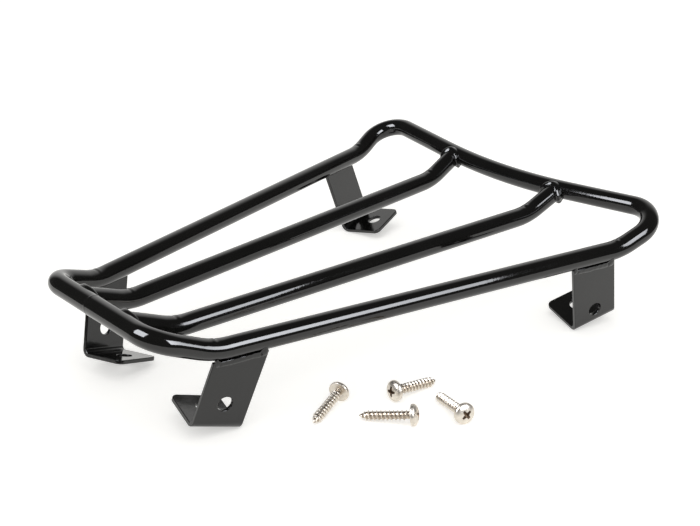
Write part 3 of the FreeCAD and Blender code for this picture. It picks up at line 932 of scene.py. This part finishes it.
def head_mesh():
    """A pan head with a cross recess, turned from one outline."""
    around = 72
    outline = list(HEAD_EDGE)
    for step in range(DOME_STEPS):
        angle = math.pi / 2 * step / DOME_STEPS
        tall = HEAD_RIM + (HEAD_TALL - HEAD_RIM) * math.sin(angle)
        outline.append((HEAD_RADIUS * math.cos(angle), tall))
    edit = bmesh.new()
    bottom = edit.verts.new((0, 0, 0))
    top = edit.verts.new((0, 0, HEAD_TALL))
    rings = []
    for radius, z in outline:
        ring = []
        for turn in range(around):
            angle = 2 * math.pi * turn / around
            point = (radius * math.cos(angle), radius * math.sin(angle), z)
            ring.append(edit.verts.new(point))
        rings.append(ring)
    for turn in range(around):
        after = (turn + 1) % around
        edit.faces.new((bottom, rings[0][after], rings[0][turn]))
        edit.faces.new((top, rings[-1][turn], rings[-1][after]))
        for low, high in zip(rings, rings[1:]):
            edit.faces.new((low[turn], low[after], high[after], high[turn]))
    mesh = bpy.data.meshes.new("head")
    edit.to_mesh(mesh)
    edit.free()
    mesh = carve(mesh, [recess_mesh()], HEAD_EASE)
    # Faces inside the recess take the recess steel, whose dark colour is painted shade.
    for face in mesh.polygons:
        x, y, z = face.center
        reach = math.hypot(x, y)
        between = RECESS_FLOOR < z < dome_height(reach) - RECESS_BELOW
        face.material_index = RECESS_INDEX if reach < RECESS_REACH and between else 0
    return mesh


def recess_mesh():
    """The cross-shaped cutter, narrower at the bottom."""
    edit = bmesh.new()
    rows = []
    for z, long, wide in RECESS_LEVELS:
        row = []
        for quarter in range(4):
            spin = Matrix.Rotation(math.pi / 2 * quarter, 3, "Z")
            half = RECESS_HALF * wide
            wing = RECESS_WING * long
            for x, y in ((wing, -half), (wing, half), (half * 1.5, half * 1.5)):
                row.append(edit.verts.new(spin @ Vector((x, y, z))))
        rows.append(row)
    count = len(rows[0])
    for high, low in zip(rows, rows[1:]):
        for index in range(count):
            after = (index + 1) % count
            edit.faces.new((high[index], high[after], low[after], low[index]))
    edit.faces.new(rows[0])
    edit.faces.new(rows[-1][::-1])
    bmesh.ops.recalc_face_normals(edit, faces=edit.faces)
    mesh = bpy.data.meshes.new("recess")
    edit.to_mesh(mesh)
    edit.free()
    return mesh


def build_screws():
    """Each screw lies on the edge of its head and on its thread."""
    tilt = math.atan2(HEAD_RADIUS - SCREW_CREST, SCREW_LONG - SCREW_POINT)
    shank = shank_mesh()
    head = head_mesh()
    for name, (x, y, heading, roll) in SCREWS.items():
        edit = bmesh.new()
        edit.from_mesh(shank)
        edit.from_mesh(head)
        mesh = bpy.data.meshes.new(name)
        spin = Matrix.Rotation(math.radians(heading), 4, "Z")
        spin = spin @ Matrix.Rotation(-math.pi / 2 + tilt, 4, "Y")
        spin = spin @ Matrix.Rotation(math.radians(roll), 4, "Z")
        place = Matrix.Translation((x, y, HEAD_RADIUS * math.cos(tilt)))
        edit.transform(Matrix.Scale(MM, 4) @ place @ spin)
        edit.to_mesh(mesh)
        edit.free()
        body = name + "_body"
        piece = finish_piece(name, mesh, SCREW_STEEL, SCREW_SHARP, body)
        # In the order of RECESS_INDEX and ROOT_INDEX.
        piece.data.materials.append(RECESS_STEEL)
        piece.data.materials.append(ROOT_SHADE_STEEL)


# ---------------------------------------------------------------------- studio

# The camera's place, its turn in degrees, and its lens and sensor in mm.
CAMERA_PLACE = (-0.47546, -0.55258, 0.37486)
CAMERA_TURN = (65.549, 0.273, -41.722)
CAMERA_LENS = 65.454
CAMERA_SENSOR = 36.0
CAMERA_NEAR = 0.01

FLOOR_RADIUS = 0.62
FLOOR_SIDES = 180

PANEL_COLOUR = (0.93, 0.95, 1.0, 1.0)
# The right panel stands off the near rail: its height above it as an angle, its
# distance, and how far along the rail it is moved.
RIGHT_HEIGHT = math.radians(37.0)
RIGHT_DISTANCE = 0.60
RIGHT_SHIFT = 0.165
# The sun is soft: it covers this many degrees of the sky.
SUN_STRENGTH = 1.0
SUN_ANGLE = 75
SUN_TURN = (22, -21, 0)

# The pale sweep behind the rack lies this way. It begins and is full at these
# cosines of the angle from there.
SWEEP_HEADING = math.radians(42.0)
SWEEP_BEGIN = 0.54
SWEEP_FULL = 0.88
SWEEP_LEVEL = 1.08
ROOM_LEVEL = 0.10
# The world's level for the light that falls on things, and for the camera.
DIFFUSE_LEVEL = 0.50
CAMERA_LEVEL = 1.08


def build_floor():
    """A round white table top, as white to the camera as the world behind it."""
    mesh = bpy.data.meshes.new("studio_floor")
    rim = []
    for index in range(FLOOR_SIDES):
        turn = 2 * math.pi * index / FLOOR_SIDES
        rim.append((FLOOR_RADIUS * math.cos(turn), FLOOR_RADIUS * math.sin(turn), 0))
    mesh.from_pydata(rim, [], [tuple(range(FLOOR_SIDES))])
    mesh.materials.append(paper_floor())
    floor = bpy.data.objects.new("studio_floor", mesh)
    bpy.context.collection.objects.link(floor)


def softbox(name, place, target, size, strength, along, fade):
    """A glowing panel that only reflections see, its width along a direction.
    It dims evenly over its width, from strength to the share fade of it."""
    half = Vector((size[0] / 2, size[1] / 2))
    mesh = bpy.data.meshes.new(name)
    signs = ((-1, -1), (1, -1), (1, 1), (-1, 1))
    corners = [(half.x * across, half.y * up, 0) for across, up in signs]
    mesh.from_pydata(corners, [], [(0, 1, 2, 3)])
    nodes = Nodes(name)
    nodes.tree.nodes.remove(nodes.shader)
    split = nodes.tree.nodes.new("ShaderNodeSeparateXYZ")
    nodes.tree.links.new(nodes.place, split.inputs["Vector"])
    glow = nodes.tree.nodes.new("ShaderNodeEmission")
    glow.inputs["Color"].default_value = PANEL_COLOUR
    level = nodes.span(split.outputs["X"], strength, strength * fade, -half.x, half.x)
    nodes.tree.links.new(level, glow.inputs["Strength"])
    out = nodes.tree.nodes["Material Output"]
    nodes.tree.links.new(glow.outputs["Emission"], out.inputs["Surface"])
    mesh.materials.append(nodes.material)
    panel = bpy.data.objects.new(name, mesh)
    bpy.context.collection.objects.link(panel)
    back = (Vector(place) - Vector(target)).normalized()
    side = Vector(along)
    side = (side - back * side.dot(back)).normalized()
    turn = Matrix((side, back.cross(side), back)).transposed()
    panel.matrix_world = Matrix.Translation(place) @ turn.to_4x4()
    panel.visible_diffuse = False
    panel.visible_camera = False
    panel.visible_shadow = False


def build_lights():
    """Two panels for the streaks along the tubes, and a very soft sun."""
    rail = Vector((math.cos(RAIL_ANGLE), -math.sin(RAIL_ANGLE), 0))
    outward = Vector((-math.sin(RAIL_ANGLE), -math.cos(RAIL_ANGLE), 0))
    near_rail = Vector((0, -RAIL_HALF, DECK)) * MM
    upward = Vector((0, 0, math.sin(RIGHT_HEIGHT)))
    place = near_rail + (outward * math.cos(RIGHT_HEIGHT) + upward) * RIGHT_DISTANCE
    softbox(
        "softbox_right",
        place=place + rail * RIGHT_SHIFT,
        target=near_rail + rail * RIGHT_SHIFT,
        size=(0.50, 0.35),
        strength=16.6,
        along=rail,
        fade=0.55,
    )
    softbox(
        "softbox_left",
        place=(-0.60, 0.12, 0.58),
        target=(0, 0, 0.05),
        size=(0.43, 0.50),
        strength=14.0,
        along=(0, 1, 0),
        fade=0.9,
    )
    key = bpy.data.lights.new("overhead_key", "SUN")
    key.energy = SUN_STRENGTH
    key.angle = math.radians(SUN_ANGLE)
    lamp = bpy.data.objects.new("overhead_key", key)
    bpy.context.collection.objects.link(lamp)
    lamp.rotation_euler = [math.radians(angle) for angle in SUN_TURN]
    lamp.visible_glossy = False


def build_world():
    """White to the camera and half as bright to diffuse light. In reflections
    it is a pale sweep behind the rack, in a dark room."""
    world = bpy.data.worlds.new("studio")
    bpy.context.scene.world = world
    world.use_nodes = True
    tree = world.node_tree
    tree.nodes.clear()

    def add(kind, **values):
        node = tree.nodes.new(kind)
        for key, value in values.items():
            setattr(node, key, value)
        return node

    heading = add("ShaderNodeTexCoord").outputs["Generated"]
    facing = add("ShaderNodeVectorMath", operation="DOT_PRODUCT")
    tree.links.new(heading, facing.inputs[0])
    sweep_middle = (math.cos(SWEEP_HEADING), math.sin(SWEEP_HEADING), 0)
    facing.inputs[1].default_value = sweep_middle
    sweep = add("ShaderNodeMapRange", interpolation_type="SMOOTHSTEP")
    sweep.inputs["From Min"].default_value = SWEEP_BEGIN
    sweep.inputs["From Max"].default_value = SWEEP_FULL
    sweep.inputs["To Min"].default_value = ROOM_LEVEL
    sweep.inputs["To Max"].default_value = SWEEP_LEVEL
    tree.links.new(facing.outputs["Value"], sweep.inputs["Value"])
    paths = add("ShaderNodeLightPath")
    level = sweep.outputs["Result"]
    seen = (("Is Diffuse Ray", DIFFUSE_LEVEL), ("Is Camera Ray", CAMERA_LEVEL))
    for kind, value in seen:
        choose = add("ShaderNodeMix", data_type="FLOAT")
        tree.links.new(paths.outputs[kind], choose.inputs["Factor"])
        tree.links.new(level, choose.inputs["A"])
        choose.inputs["B"].default_value = value
        level = choose.outputs["Result"]
    light = add("ShaderNodeBackground")
    light.inputs["Color"].default_value = WARM_WHITE
    tree.links.new(level, light.inputs["Strength"])
    out = add("ShaderNodeOutputWorld")
    tree.links.new(light.outputs["Background"], out.inputs["Surface"])


def build_camera():
    data = bpy.data.cameras.new("camera")
    data.lens = CAMERA_LENS
    data.sensor_width = CAMERA_SENSOR
    data.clip_start = CAMERA_NEAR
    camera = bpy.data.objects.new("camera", data)
    bpy.context.collection.objects.link(camera)
    camera.location = CAMERA_PLACE
    camera.rotation_euler = [math.radians(angle) for angle in CAMERA_TURN]
    bpy.context.scene.camera = camera


build_camera()
build_outer_frame()
build_seam_weld()
build_inner_bars()
build_brackets()
build_screws()
build_floor()
build_lights()
build_world()
bpy.context.scene.view_settings.view_transform = "Standard"
